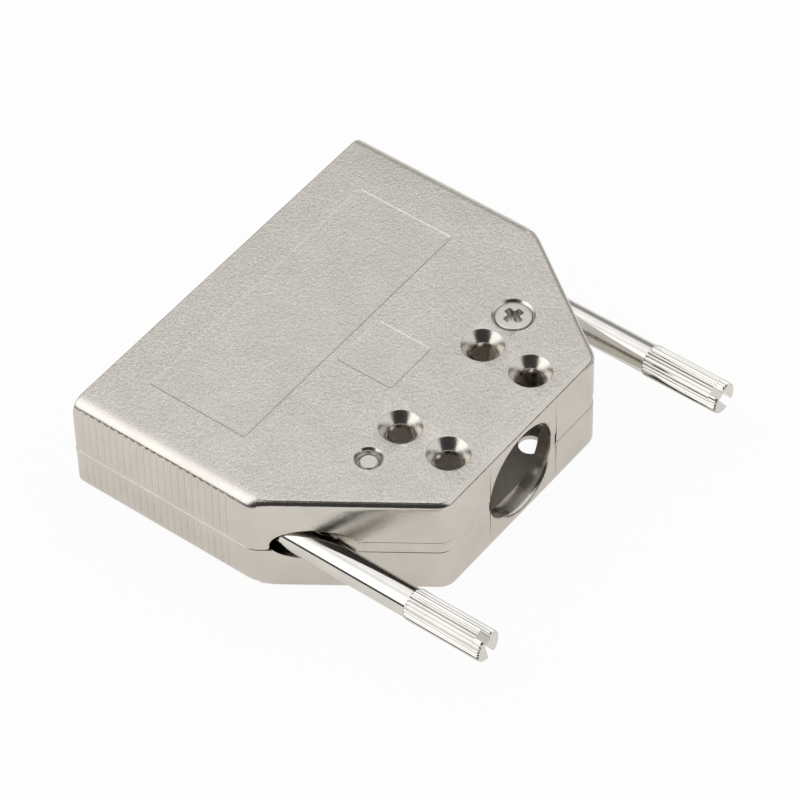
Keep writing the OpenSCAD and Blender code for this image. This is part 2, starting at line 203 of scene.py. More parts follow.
class ScrewSizes(bpy.types.PropertyGroup):
    """Sizes of the jackscrews and assembly screws, in millimetres."""
    rod_r: length("Rod radius", "Radius of a jackscrew's rod", 1.9)
    shoulder_back: length("Shoulder", "Distance from the mating face to the rod's shoulder", 8.2)
    groove_r: length("Groove radius", "Radius of the groove under the retaining ring", 1.5)
    head_l: length("Head length", "Length of the knurled head", 10.8)
    head_round: length("Head rounding", "Radius at the end of the head", 0.35)
    knurl_count: IntProperty(name="Knurls", description="Ridges round the head", default=28)
    knurl_depth: length("Knurl depth", "Depth of the knurling", 0.14)
    slot_w: length("Slot width", "Width of the screwdriver slot", 1.1)
    slot_depth: length("Slot depth", "Depth of the screwdriver slot", 1.3)
    left_turn: FloatProperty(name="Left slot", description="Turn of the left slot, in degrees",
                             default=-14.0)
    right_turn: FloatProperty(name="Right slot", description="Turn of the right slot, in degrees",
                              default=-34.0)
    screw_sunk: length("Head sunk", "Depth of an assembly screw's head below the face", 0.12)
    tip_sunk: length("Tip sunk", "Depth of an assembly screw's tip below the far face", 0.55)
    tip_r: length("Tip radius", "Radius of the flat tip of an assembly screw", 0.98)
    sink_r: length("Countersink", "Radius of the countersink at the surface", 2.6)
    recess_span: length("Recess span", "Span of the cross recess", 2.6)
    recess_w: length("Recess width", "Width of the arms of the cross recess", 0.98)
    recess_depth: length("Recess depth", "Depth of the cross recess", 1.1)
    recess_turn: FloatProperty(name="Recess turn", default=-16.0,
                               description="Turn of the cross recess, in degrees")


class Finishes(bpy.types.PropertyGroup):
    """Colours of the metals."""
    casting: colour("Casting", "Nickel plate on the die casting", (0.70, 0.67, 0.625))
    jackscrew: colour("Jackscrew", "Nickel plate on the turned screws", (0.76, 0.745, 0.715))
    screw: colour("Screw", "Nickel plate on the assembly screws", (0.63, 0.61, 0.57))
    ring: colour("Ring", "Spring steel of the retaining rings", (0.42, 0.41, 0.40))
    floor: colour("Floor", "Floor under the hood", (0.93, 0.93, 0.93))


# ---- mesh tools --------------------------------------------------------------------------

def inside(points, loop):
    """Which points lie in a closed loop: an odd number of its edges lie to their right."""
    x, y = points[:, :1], points[:, 1:]
    x0, y0 = loop[:, 0], loop[:, 1]
    x1, y1 = np.roll(x0, -1), np.roll(y0, -1)
    crosses = (y0 > y) != (y1 > y)
    slope = np.where(y1 == y0, 1.0, y1 - y0)
    return (crosses & (x < (x1 - x0) * (y - y0) / slope + x0)).sum(1) % 2 == 1


def at(x, y, z=0.0):
    """Points from coordinates that may each be one number or many."""
    return np.stack(np.broadcast_arrays(np.asarray(x, float), y, z), -1).astype(float)


def full_turn(count):
    """Angles of one turn anticlockwise, as a column."""
    return np.linspace(0, 2 * np.pi, count, endpoint=False)[:, None]


def along_y(x, turn, radius, y):
    """Points at an angle and radius round an axis that runs along Y."""
    return at(x + radius * np.cos(turn), y, radius * np.sin(turn))


def along_z(x, y, turn, radius, z):
    """Points at an angle and radius round an axis that runs along Z."""
    return at(x + radius * np.cos(turn), y + radius * np.sin(turn), z)


def circle(x, y, r, count=HOLE_POINTS):
    """Points r from (x, y), one turn anticlockwise. r may be one radius for each point."""
    turn = full_turn(count)[:, 0]
    return np.stack([x + r * np.cos(turn), y + r * np.sin(turn)], 1)


def rounded_rectangle(x0, x1, y0, y1, r, count=6):
    """Four quarter circles of radius r, one in each corner, joined by straight lines."""
    turn = np.linspace(0, np.pi / 2, count)
    corners = [(x1 - r, y1 - r, 0), (x0 + r, y1 - r, 1), (x0 + r, y0 + r, 2), (x1 - r, y0 + r, 3)]
    return np.concatenate([
        np.stack([x + r * np.cos(turn + q * np.pi / 2), y + r * np.sin(turn + q * np.pi / 2)], 1)
        for x, y, q in corners])


class Shape:
    """Gathers the surfaces of one piece, in millimetres."""

    def __init__(self):
        self.points, self.faces, self.count = [], [], 0

    def add(self, points, faces):
        """Adds points, and faces that count their points from 0."""
        self.points.append(points)
        self.faces += (np.asarray(faces) + self.count).tolist()
        self.count += len(points)

    def grid(self, points, around=False):
        """Quads between neighbours in a grid of points[u, v]. around joins the last u to the
        first."""
        rows, columns = points.shape[:2]
        index = np.arange(rows * columns).reshape(rows, columns)
        if around:
            index = np.concatenate([index, index[:1]])
        quads = np.stack([index[:-1, :-1], index[1:, :-1], index[1:, 1:], index[:-1, 1:]], -1)
        self.add(points.reshape(-1, 3), quads.reshape(-1, 4))

    def fill(self, loops, place, flip=False):
        """Triangles that fill the first plan loop outside the others. place lifts the points of
        the plan."""
        points = np.concatenate(loops)
        starts = np.cumsum([0] + [len(loop) for loop in loops])
        edges = [(a + i, a + (i + 1) % (b - a))
                 for a, b in zip(starts[:-1], starts[1:]) for i in range(b - a)]
        made, _, faces, *_ = geometry.delaunay_2d_cdt(
            [Vector(point) for point in points], edges, [], 1, 1e-7)
        made = np.array([tuple(point) for point in made])
        faces = np.array([face[:3] for face in faces])
        middle = made[faces].mean(1)
        keep = inside(middle, loops[0])
        for hole in loops[1:]:
            keep &= ~inside(middle, hole)
        faces = faces[keep]
        self.add(place(made), faces[:, ::-1] if flip else faces)

    def tube(self, x, y, radius, height, count=HOLE_POINTS):
        """A profile of radius and height turned round a vertical axis. The radius may also
        change with the angle."""
        self.grid(along_z(x, y, full_turn(count), radius, height), around=True)

    def prism(self, loops, place, low, high):
        """A plate: plan loops filled at two heights and joined. place takes plan points and a
        height."""
        self.fill(loops, lambda plan: place(plan, high))
        self.fill(loops, lambda plan: place(plan, low), flip=True)
        for loop in loops:
            self.grid(np.stack([place(loop, low), place(loop, high)], 1), around=True)

    def piece(self, name, body, metal, replaces, slot):
        """Makes the mesh object, merges shared points, turns its faces outwards and lets it ride
        on a body in place of solids."""
        mesh = bpy.data.meshes.new(name)
        mesh.from_pydata((np.concatenate(self.points) * MM).tolist(), [], self.faces)
        work = bmesh.new()
        work.from_mesh(mesh)
        bmesh.ops.remove_doubles(work, verts=work.verts, dist=MERGE)
        bmesh.ops.dissolve_degenerate(work, edges=work.edges, dist=DEGENERATE)
        bmesh.ops.recalc_face_normals(work, faces=work.faces)
        work.to_mesh(mesh)
        work.free()
        mesh.shade_smooth()
        mesh.set_sharp_from_angle(angle=SHARP)
        mesh.materials.append(metal)
        piece = bpy.data.objects.new(name, mesh)
        bpy.context.scene.collection.objects.link(piece)
        weighted = piece.modifiers.new("Weighted normals", "WEIGHTED_NORMAL")
        weighted.keep_sharp = True
        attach(piece, body)
        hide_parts(*replaces)


# ---- the shells --------------------------------------------------------------------------

def half_outline(size, front_level, rear_level):
    """Columns of the upper shell's right half, from the mating face to the middle of the cable
    face. A column holds the top of its wall, its base (at the seam, or on the edge of a hole),
    the way out, the way from the base into the opening, the way into the wall, the matching
    base and top on the wall's inside, the radius of its upper edge, the base's chamfer and
    whether its raised rim stands back."""
    columns = {}

    def add(top, base, out, toward, into, inner, radius, inner_top=None, chamfer=0.0, rim=0.0):
        inner_top = inner * [1, 1, 0] if inner_top is None else inner_top
        values = dict(top=top, base=base, out=out, toward=toward, into=into, inner=inner,
                      inner_top=inner_top)
        for key, value in values.items():
            value = np.broadcast_to(np.asarray(value, float), (len(top), 3))
            columns.setdefault(key, []).append(value)
        for key, value in (("radius", radius), ("chamfer", chamfer), ("rim", rim)):
            columns.setdefault(key, []).append(np.broadcast_to(value, len(top)).astype(float))

    down = (0, 0, -1)
    slant = np.array([size.end_w / 2 - HALF_W, size.side_l - HOOD_L])
    slant_l = math.hypot(*slant)
    way = slant / slant_l
    normal = np.array([-way[1], way[0]])
    lean = math.atan2(normal[1], normal[0])
    side_trim = size.side_corner * math.tan(-lean / 2)
    end_trim = size.end_corner * math.tan((lean + math.pi / 2) / 2)

    def corner(x, y, r, start, stop, radii, inner, level, rim=0.0):
        turn = np.linspace(start, stop, 11)
        out = at(np.cos(turn), np.sin(turn))
        top = at(x, y) + out * r
        add(top, top + [0, 0, level], out, down, -out, inner + [0, 0, level], radii,
            rim=rim)

    slope = slant[1] / slant[0]
    corner_l = -size.side_corner * lean

    def edge_radius(s):
        """Radius of the upper edge: from the side's to the end's, over the corner and a run."""
        share = np.clip((s + corner_l) / (corner_l + size.edge_run), 0, 1)
        return size.side_edge + (size.end_edge - size.side_edge) * share ** 2 * (3 - 2 * share)

    def inner_face(x, z=0.0):
        """Points of the slanted wall's inside."""
        y = -size.side_l - (HALF_W - x) * slope + size.slant_wall * math.hypot(1, slope)
        return at(x, y, z)

    inner_x, inner_y = HALF_W - size.side_wall, -HOOD_L + size.outlet_wall
    side_corner = inner_face(inner_x)
    end_corner = inner_face(HALF_W - (size.slant_wall * math.hypot(1, slope) - size.side_l
                                      - inner_y) / slope)

    # Ribbed side, with columns close together across each groove
    offsets = np.array([-0.38, -0.25, -0.17, -0.09, -0.03, 0.03, 0.09, 0.17, 0.25, 0.38, 0.5])
    ribs = size.rib_start + size.rib_pitch * np.arange(size.rib_count)
    ribs = (ribs[:, None] + offsets).ravel()
    y = np.concatenate([[size.front_edge, 0.6], ribs, [FLANGE_BACK],
                        np.linspace(ribs[-1] + 0.3, size.side_l - side_trim, 6)[:-1]])
    top = at(HALF_W, -np.sort(y))
    add(top, top + [0, 0, front_level], (1, 0, 0), down, (-1, 0, 0),
        at(inner_x, np.maximum(top[:, 1], side_corner[1]), front_level), size.side_edge)
    corner(HALF_W - size.side_corner, -size.side_l + side_trim, size.side_corner, 0, lean,
           edge_radius(np.linspace(-corner_l, 0, 11)), side_corner, front_level)

    # Slanted face, with the rod's hole
    hole_s = (HALF_W - JACK_X) / -way[0]
    out = at(*normal)

    def face(s, z=0.0):
        return at(HALF_W + way[0] * s, -size.side_l + way[1] * s, z)

    # The arch is half an ellipse; below mid-height its sides run straight down to the seam,
    # where the corner towards the mating face is rounded
    high = size.arch_high if front_level < 0 else size.arch_low
    dip = math.asin(SEAM / high)
    ends = [math.pi - dip if rear_level > 0 else math.pi, dip if front_level > 0 else 0.0]
    turn = np.linspace(ends[1], ends[0], 45)
    arch = np.stack([size.rod_hole * np.cos(turn), high * np.sin(turn)], 1)
    arch_way = np.stack([-np.cos(turn) / size.rod_hole, -np.sin(turn) / high], 1)
    if front_level < 0:
        bend = np.linspace(math.pi / 2, 0, 7)[:-1]
        r = size.arch_round
        fillet = np.stack([size.rod_hole + r * (1 - np.cos(bend)),
                           front_level + r * (1 - np.sin(bend))], 1)
        fillet_way = np.stack([-np.cos(bend), -np.sin(bend)], 1)
        arch = np.concatenate([fillet, [(size.rod_hole, front_level + r)], arch])
        arch_way = np.concatenate([fillet_way, [(-1, 0)], arch_way])
    if rear_level < 0:
        straight = [(-size.rod_hole, rear_level / 2), (-size.rod_hole, rear_level)]
        arch = np.concatenate([arch, straight])
        arch_way = np.concatenate([arch_way, [(1, 0), (1, 0)]])
    arch_way /= np.linalg.norm(arch_way, axis=1)[:, None]
    arch_s = hole_s - arch[:, 0] / -way[0]
    arch_x = np.minimum(JACK_X + arch[:, 0], inner_x)
    s = np.linspace(side_trim, arch_s[0], 14)[:-1]
    add(face(s), face(s, front_level), out, down, -out,
        inner_face(np.linspace(inner_x, arch_x[0], 14)[:-1], front_level), edge_radius(s))
    spread = np.linspace(arch_s[0], arch_s[-1], len(arch))
    toward = at(arch_way[:, 0], arch_way[:, 0] * slope, arch_way[:, 1])
    toward /= np.linalg.norm(toward, axis=1)[:, None]
    add(face(spread), face(arch_s, arch[:, 1]), out, toward, (0, 1, 0),
        inner_face(arch_x, arch[:, 1]), edge_radius(spread),
        inner_top=inner_face(np.linspace(arch_x[0], arch_x[-1], len(arch))),
        rim=arch[:, 0] < 0)
    s = np.linspace(arch_s[-1], slant_l - end_trim, 12)[1:]
    add(face(s), face(s, rear_level), out, down, -out,
        inner_face(np.linspace(arch_x[-1], end_corner[0], 12)[1:], rear_level),
        edge_radius(s), rim=1.0)
    corner(size.end_w / 2 - end_trim, -HOOD_L + size.end_corner, size.end_corner, lean,
           -math.pi / 2, size.end_edge, end_corner, rear_level, rim=1.0)

    # Cable face, with a quarter of the outlet
    mouth = OUTLET_R + size.outlet_chamfer
    dip = math.asin(SEAM / mouth)
    x = np.linspace(size.end_w / 2 - end_trim, mouth * math.cos(dip), 8)
    bore_x = OUTLET_R * math.cos(dip)
    add(at(x, -HOOD_L), at(x, -HOOD_L, rear_level), (0, -1, 0), down, (0, 1, 0),
        at(np.linspace(end_corner[0], bore_x, 8), inner_y, rear_level), size.end_edge, rim=1.0)
    turn = np.linspace(math.copysign(dip, rear_level), math.pi / 2, 41)
    rim = at(np.cos(turn), 0, np.sin(turn))
    top = at(np.cos(np.linspace(dip, math.pi / 2, 41)), 0)
    add(top * mouth + [0, -HOOD_L, 0], rim * mouth + [0, -HOOD_L, 0], (0, -1, 0), -rim, (0, 1, 0),
        rim * OUTLET_R + [0, inner_y, 0], size.end_edge,
        inner_top=top * OUTLET_R + [0, inner_y, 0], chamfer=size.outlet_chamfer, rim=1.0)
    return {key: np.concatenate(parts) for key, parts in columns.items()}


def outline(size):
    """Both halves: the left one is the right one mirrored, with the seam's levels exchanged."""
    right = half_outline(size, SEAM, -SEAM)
    left = half_outline(size, -SEAM, SEAM)
    whole = {}
    for key, part in left.items():
        part = part[:-1][::-1].copy()
        if part.ndim == 2:
            part[:, 0] *= -1
        whole[key] = np.concatenate([right[key], part])
    return whole


def groove(size, y, z, level):
    """Depth of the grip grooves: a V at each pitch with rounded flanks, and a slight crown
    between them. They run out in the edge rounding above, and a little above the seam below."""
    place = (-y - size.rib_start) / size.rib_pitch
    near = np.abs(place - np.clip(np.round(place), 0, size.rib_count - 1)) * size.rib_pitch
    depth = size.rib_depth * np.clip(1 - near / GROOVE_HALF_W, 0, 1) ** GROOVE_POWER
    crown = size.rib_crown * np.clip(1 - 2 * near / size.rib_pitch, 0, 1)
    end = level + np.where(level < 0, GROOVE_END_LOW, GROOVE_END_HIGH)
    fade = np.clip((z - end) / GROOVE_FADE, 0, 1)
    top = HALF_H - size.side_edge * (1 - math.cos(GROOVE_TOP))
    depth = depth * np.clip((top - z) / GROOVE_TOP_FADE, 0, 1)
    depth = depth + crown * np.clip((top - CROWN_TOP - z) / CROWN_TOP_FADE, 0, 1)
    return depth * np.sqrt(1 - (1 - fade) ** 2)


def countersink(size, bore, blend):
    """Profile of a countersunk hole, as radius and height above the face: a soft edge, a cone of
    45 degrees and the start of the bore."""
    r = size.sink_r
    return [(r + 0.09, 0), (r + 0.03, -0.015), (r - 0.04, -0.07), (bore + blend, bore + blend - r),
            (bore, bore - 0.08 - r)]


def tapped_hole(shape, size, x, y):
    """A hole through a post, chamfered at the face. Its wall is a thread: a triangle wave carried
    down a helix. Returns the radius of its edge."""
    lead, fade, edge = 0.28, 0.3, BORE_R + 0.27
    bottom = HALF_H - SEAM
    depth = np.linspace(lead, bottom, 90)
    turn = full_turn(HOLE_POINTS)
    wave = np.abs(((depth / SCREW_PITCH - turn / (2 * np.pi)) % 1) * 2 - 1)
    ease = np.clip((depth - lead) / fade, 0, 1) * np.clip((bottom - depth) / fade, 0, 1)
    radius = BORE_R + 0.02 - 0.16 * (1 - wave) * ease
    rows = [np.full_like(turn, r) for r in (edge, BORE_R + 0.04, POST_R, POST_R)]
    radius = np.concatenate([*rows[:2], radius, *rows[2:]], 1)
    depth = np.concatenate([[0, 0.23], depth, [bottom, size.floor]])
    shape.tube(x, y, radius, HALF_H - depth)
    return edge


def recess(shape, size, half, front, back):
    """A shallow recess in the top face: an S-shaped wall carried round its outline, and its
    floor. Returns its outline in the face."""
    step = np.array([(0, 0), (0.03, 0.02), (0.08, 0.12), (0.15, 0.5), (0.22, 0.88), (0.27, 0.98),
                     (0.3, 1)])
    loops = np.stack([rounded_rectangle(-half + d, half - d, -back + d, -front - d, 0.5 - d)
                      for d in step[:, 0]], 1)
    shape.grid(at(loops[..., 0], loops[..., 1], HALF_H - size.label_depth * step[:, 1]),
               around=True)
    shape.fill([loops[:, -1]], lambda p: at(p[:, 0], p[:, 1], HALF_H - size.label_depth))
    return loops[:, 0]


def upper_shell(size):
    """The upper shell. Its outside is a section carried round the outline: a quarter circle from
    the top face, the wall down to the seam or to the edge of a hole, the rounded lip there, then
    through the wall and up its inside. Flat faces are filled between the loops."""
    shape = Shape()
    track = outline(size)
    many = len(track["top"])
    ceiling = HALF_H - size.floor
    column = {key: value[:, None] for key, value in track.items()}
    up = np.array([0, 0, 1.0])

    # Edge rounding
    turn = EDGE_TURNS
    drop = column["radius"] * (1 - np.cos(turn))
    inset = column["radius"] * (1 - np.sin(turn))
    edge = column["top"] - column["out"] * inset[..., None] + up * (HALF_H - drop)[..., None]
    edge_out = column["out"] * np.sin(turn)[:, None] + up * np.cos(turn)[:, None]
    # Wall, with rows on either side of the raised rim's step
    share = np.concatenate([np.linspace(0, 0.7, 10)[1:], np.linspace(0.7, 1, 15)[1:]])
    lip_start = column["base"] - column["toward"] * size.seam_round
    wall_top = edge[:, -1:]
    high, low = wall_top[..., 2], lip_start[..., 2]
    fall = np.concatenate([high + (SEAM + 0.25 - high) * np.linspace(0, 1, 8)[1:],
                           SEAM + 0 * high + [0.03, 0, -0.03, -0.08],
                           SEAM - 0.2 + (low - SEAM + 0.2) * np.linspace(0, 1, 12)], 1)
    share = np.where(low < SEAM - 0.4, (high - fall) / (high - low), share)
    wall = wall_top + (lip_start - wall_top) * share[..., None]
    wall_out = np.broadcast_to(column["out"], wall.shape)
    # Lip: a quarter circle, or the chamfer of the outlet
    bend = np.linspace(0, np.pi / 2, 5)[1:]
    r = size.seam_round
    lip = (column["base"] + column["toward"] * (r * (np.sin(bend) - 1))[:, None]
           + column["into"] * (r * (1 - np.cos(bend)))[:, None])
    c = size.outlet_chamfer
    cut = np.array([(0.0, 0.04), (0.5 * c, 0.5 * c), (c - 0.03, c - 0.01), (c, c + 0.06)])
    chamfered = (column["base"] + column["toward"] * cut[:, :1] + column["into"] * cut[:, 1:])
    lip = np.where(track["chamfer"][:, None, None] > 0, chamfered, lip)
    lip_out = column["out"] * np.cos(bend)[:, None] + column["toward"] * np.sin(bend)[:, None]

    outside = np.concatenate([edge, wall, lip], 1)
    normals = np.concatenate([edge_out, wall_out, lip_out], 1)
    z = outside[..., 2]
    stand_back = size.rim_inset * np.clip((SEAM - z) / 0.07, 0, 1) ** 0.5 * column["rim"]
    ribbed = (np.abs(track["out"][:, 0]) == 1)[:, None]
    cut = np.where(ribbed, groove(size, outside[..., 1], z, track["base"][:, None, 2]), 0)
    outside -= cut[..., None] * normals + stand_back[..., None] * column["out"]
    shape.grid(outside)

    # Through the wall and up its inside, behind the flange's slot
    back = int(np.argmin(np.abs(track["top"][:, 1] + FLANGE_BACK)))
    inner = slice(back, many - back)
    start, base = outside[inner, -1], track["inner"][inner]
    share = (start[0, 0] - SLOT[0]) / (start[0, 0] - base[0, 0])
    ledge = start + (base - start) * share
    inside_wall = np.stack([base, track["inner_top"][inner] + up * ceiling], 1)
    shape.grid(np.concatenate([start[:, None], ledge[:, None], inside_wall], 1))

    # Front edge: a small quarter circle between the outside and the mating face
    b = size.front_edge
    bend = np.linspace(0, np.pi / 2, 5)
    mouth_x, mouth_z = MOUTH
    first, last = outside[0, ::-1], outside[-1]
    line = np.concatenate([at([mouth_x], -b, SEAM), first, last, at([-mouth_x], -b, -SEAM)])
    line_out = np.concatenate([[-up], normals[0, ::-1], normals[-1], [-up]])
    lips = len(lip[0]) + 1
    narrow = np.ones(len(line))
    narrow[:lips + 3] = narrow[-lips - 3:] = 0.4 * size.seam_round / b
    inset = narrow[:, None] * b * (1 - np.cos(bend))
    strip = line[:, None] - line_out[:, None] * inset[..., None]
    strip[..., 1] += b * np.sin(bend)
    shape.grid(strip)
    end = strip[:, -1]
    loop = np.concatenate([end[:, [0, 2]], [(-mouth_x, mouth_z), (mouth_x, mouth_z)]])
    shape.fill([loop], lambda p: at(p[:, 0], 0, p[:, 1]))
    for sign, arc in ((1, strip[0]), (-1, strip[-1])):
        loop = np.concatenate([arc[:, 1:], [(0, mouth_z), (-b, mouth_z)]])
        shape.fill([loop], lambda p, s=sign: at(s * mouth_x, p[:, 0], p[:, 1]))
    # The mouth and the flange's slot: half width and height at each place behind the face
    stations = np.array([(0, mouth_x, mouth_z), (-b, mouth_x, mouth_z),
                         (-LIP_BACK, mouth_x, mouth_z), (-LIP_BACK, *SLOT),
                         (-FLANGE_BACK, *SLOT),
                         (-FLANGE_BACK, HALF_W - size.side_wall, ceiling)])
    y, x, top_z = stations.T[..., None]
    shape.grid(at(x * [1, -1], y, top_z))
    y, x, top_z = y[1:], x[1:], top_z[1:]
    for sign, seam_z in ((1, SEAM), (-1, -SEAM)):
        shape.grid(at(sign * x, y, np.concatenate([top_z * 0 + seam_z, top_z], 1)))
        rim = outside[:back + 1, -1] if sign > 0 else outside[:-back - 2:-1, -1]
        return_way = np.stack([sign * x[-2:0:-1, 0], y[-2:0:-1, 0]], 1)
        loop = np.concatenate([rim[:, :2], return_way, [(sign * mouth_x, -b)]])
        shape.fill([loop], lambda p, s=seam_z: at(p[:, 0], p[:, 1], s))

    # Top face and ceiling, with the holes between them: four clamp screw holes, the countersunk
    # hole through one post, the tapped hole through the other, and two recesses
    holes, ceiling_holes = [], []
    sink = np.array(countersink(size, CLAMP_R, 0.06) + [(CLAMP_R, -size.floor)])
    for x in (-CLAMP_X, CLAMP_X):
        for y in CLAMP_Y:
            shape.tube(x, y, sink[:, 0], sink[:, 1] + HALF_H)
            holes.append(circle(x, y, sink[0, 0]))
            ceiling_holes.append(circle(x, y, CLAMP_R))
    down = -HALF_H - SEAM
    through = np.array(countersink(size, BORE_R, 0.05)
                       + [(BORE_R, down), (POST_R, down), (POST_R, -size.floor)])
    shape.tube(POST_X, POST_Y, through[:, 0], through[:, 1] + HALF_H)
    holes.append(circle(POST_X, POST_Y, through[0, 0]))
    edge_r = tapped_hole(shape, size, -POST_X, POST_Y)
    holes.append(circle(-POST_X, POST_Y, edge_r))
    ceiling_holes += [circle(x, POST_Y, POST_R) for x in (-POST_X, POST_X)]
    label_end = size.label_back + size.label_w
    square_back = label_end + size.badge_gap
    for half, front, back in ((size.label_l / 2, size.label_back, label_end),
                              (size.badge_w / 2, square_back, square_back + size.badge_w)):
        holes.append(recess(shape, size, half, front, back))
    shape.fill([outside[:, 0, :2]] + holes, lambda p: at(p[:, 0], p[:, 1], HALF_H))
    shape.fill([inside_wall[:, -1, :2]] + ceiling_holes, lambda p: at(p[:, 0], p[:, 1], ceiling))
    return shape


def add_channels(shape, size):
    """The walls and webs that guide the jackscrews: plates with a notch round each rod."""
    ceiling = HALF_H - size.floor + 0.1
    wall = HALF_W - size.side_wall + 0.1
    slope = (HOOD_L - size.side_l) / (HALF_W - size.end_w / 2)
    for sign, level in ((1, SEAM), (-1, -SEAM)):
        x0, x1 = PARTITION
        back = [-size.side_l - (HALF_W - x) * slope + size.slant_wall * math.hypot(1, slope) - 0.2
                for x in (x0, x1)]
        loop = np.array([(x1, -WEBS[0][0]), (x0, -WEBS[0][0]), (x0, back[0]), (x1, back[1])])
        shape.prism([loop], lambda p, z, s=sign: at(s * p[:, 0], p[:, 1], z), level, ceiling)
        dip = math.asin(level / ROD_CLEAR)
        turn = np.linspace(math.pi - dip, dip, 33)
        notch = np.stack([JACK_X + ROD_CLEAR * np.cos(turn), ROD_CLEAR * np.sin(turn)], 1)
        loop = np.concatenate([[(x0 + 0.2, level)], notch,
                               [(wall, level), (wall, ceiling), (x0 + 0.2, ceiling)]])
        for front, rear in WEBS:
            shape.prism([loop], lambda p, y, s=sign: at(s * p[:, 0], y, p[:, 1]), -rear, -front)


# ---- the screws --------------------------------------------------------------------------

def thread(turn, place, major, pitch, low, high, fade):
    """Radius of a thread: a triangle wave of the place along the axis less the turn, flattened
    at crest and root, fading out towards both ends, with a chamfer at the tip."""
    depth = THREAD_DEPTH * pitch
    wave = np.abs(((place / pitch - turn / (2 * np.pi)) % 1) * 2 - 1)
    wave = np.clip(wave * THREAD_FLANK - THREAD_FLAT, 0, 1)
    ease = np.clip((place - low) / fade, 0, 1) * np.clip((high - place) / (0.3 * fade), 0, 1)
    chamfer = depth * 0.5 * (1 - np.clip((high - place) / fade, 0, 1))
    return major - depth * (1 - wave) * ease - chamfer


def jackscrew(size, x, slot_turn):
    """A jackscrew: a section turned round its axis. Its thread and its knurled head also change
    with the angle, and two rounded lugs stand on either side of the slot."""
    shape = Shape()
    teeth = size.knurl_count
    points = teeth * KNURL_POINTS
    turn = full_turn(points)
    rod = size.rod_r
    shoulder, head = -size.shoulder_back, JACK_REAR + size.head_l
    floor = JACK_REAR + size.slot_depth
    tooth = np.abs((turn * teeth / (2 * np.pi)) % 1 * 2 - 1)
    ridge = np.clip(tooth * 1.9 - 0.25, 0, 1) * size.knurl_depth

    # Thread, then the rod with its shoulder and the groove of the retaining ring, then the head
    thread_y = np.linspace(JACK_FRONT, shoulder, THREAD_ROWS)
    thread_r = thread(turn, thread_y, THREAD_R, JACK_PITCH, shoulder + 0.5, JACK_FRONT, 0.7)
    groove_front, groove_back = -RING_FRONT + 0.05, -RING_BACK - 0.05
    groove_r = size.groove_r
    section = np.array([
        (shoulder, rod - 0.2), (shoulder - 0.05, rod - 0.06), (shoulder - 0.2, rod),
        (groove_front + 0.04, rod), (groove_front, rod - 0.04), (groove_front, groove_r),
        (groove_back, groove_r), (groove_back, rod - 0.04), (groove_back - 0.04, rod),
        (-25, rod), (-35, rod), (head + 0.03, rod), (head, rod + 0.01)])
    head_y = np.array([head, head - 0.06, head - 0.16, head - 0.3, head - 2, head - 5, floor])
    full = np.array([rod + 0.01, KNURL_R - 0.07, KNURL_R - 0.02] + [KNURL_R] * 4)
    head_r = full - ridge * np.array([0, 0.3, 0.85, 1, 1, 1, 1])
    y = np.concatenate([thread_y, section[:, 0], head_y])
    radius = np.concatenate([thread_r, section[:, 1] + 0 * turn, head_r], 1)
    shape.grid(along_y(x, turn, radius, y), around=True)
    for end in (0, -1):
        loop = circle(0, 0, radius[:, end], points)
        shape.fill([loop], lambda p, e=end: at(x + p[:, 0], y[e], p[:, 1]))

    # The lugs: the knurled outline on one side of the slot, closed by a chord, at levels that
    # end in a quarter circle. All levels keep as many points as the shortest one.
    half = size.slot_w / 2
    bend = np.linspace(0, np.pi / 2, 6)[1:]
    levels = np.concatenate([[floor + 0.05, JACK_REAR + size.head_round],
                             JACK_REAR + size.head_round * (1 - np.sin(bend))])
    shrink = np.concatenate([[0, 0], size.head_round * (1 - np.cos(bend))])
    tilt = math.radians(slot_turn)
    for side, flip in ((0, 1), (math.pi, -1)):
        # Angles measured from the middle of the lug
        middle = (turn[:, 0] - side + np.pi) % (2 * np.pi) - np.pi
        order = np.argsort(middle)
        middle = middle[order]
        loops = []
        for level, inset in zip(levels, shrink):
            r = KNURL_R - inset - ridge[order, 0] * (1 if inset < 0.1 else 0.3)
            loop = np.stack([r * np.cos(middle), r * np.sin(middle)], 1)
            loop = loop[loop[:, 0] > half + 0.02]
            loops.append((level, loop, KNURL_R - inset - 0.05))
        count = min(len(loop) for _, loop, _ in loops)
        rows = []
        for level, loop, r in loops:
            spare = (len(loop) - count) // 2
            loop = loop[spare:spare + count]
            chord = math.sqrt(r * r - half * half)
            loop = np.concatenate([[(half, -chord)], loop, [(half, chord)]])
            px = flip * (loop[:, 0] * math.cos(tilt) + loop[:, 1] * math.sin(tilt))
            pz = flip * (-loop[:, 0] * math.sin(tilt) + loop[:, 1] * math.cos(tilt))
            rows.append(at(x + px, level, pz))
        rows = np.stack(rows, 1)
        shape.grid(rows, around=True)
        for index in (0, -1):
            ring = rows[:, index]
            shape.fill([ring[:, [0, 2]]], lambda p, e=ring[0, 1]: at(p[:, 0], e, p[:, 1]))
    return shape


def cross(span, width, blend, centre, turn_deg):
    """Outline of a cross recess: four arms with rounded ends, blended in the middle."""
    arm = np.array([(width / 2 + blend, width / 2), (span / 2 - 0.12, width / 2 * 0.92),
                    (span / 2, width / 2 * 0.6), (span / 2, -width / 2 * 0.6),
                    (span / 2 - 0.12, -width / 2 * 0.92), (width / 2 + blend, -width / 2)])[::-1]
    loops = []
    for quarter in range(4):
        a = math.radians(turn_deg + 90 * quarter)
        c, s = math.cos(a), math.sin(a)
        loops.append(np.stack([centre[0] + arm[:, 0] * c - arm[:, 1] * s,
                               centre[1] + arm[:, 0] * s + arm[:, 1] * c], 1))
    return np.concatenate(loops)


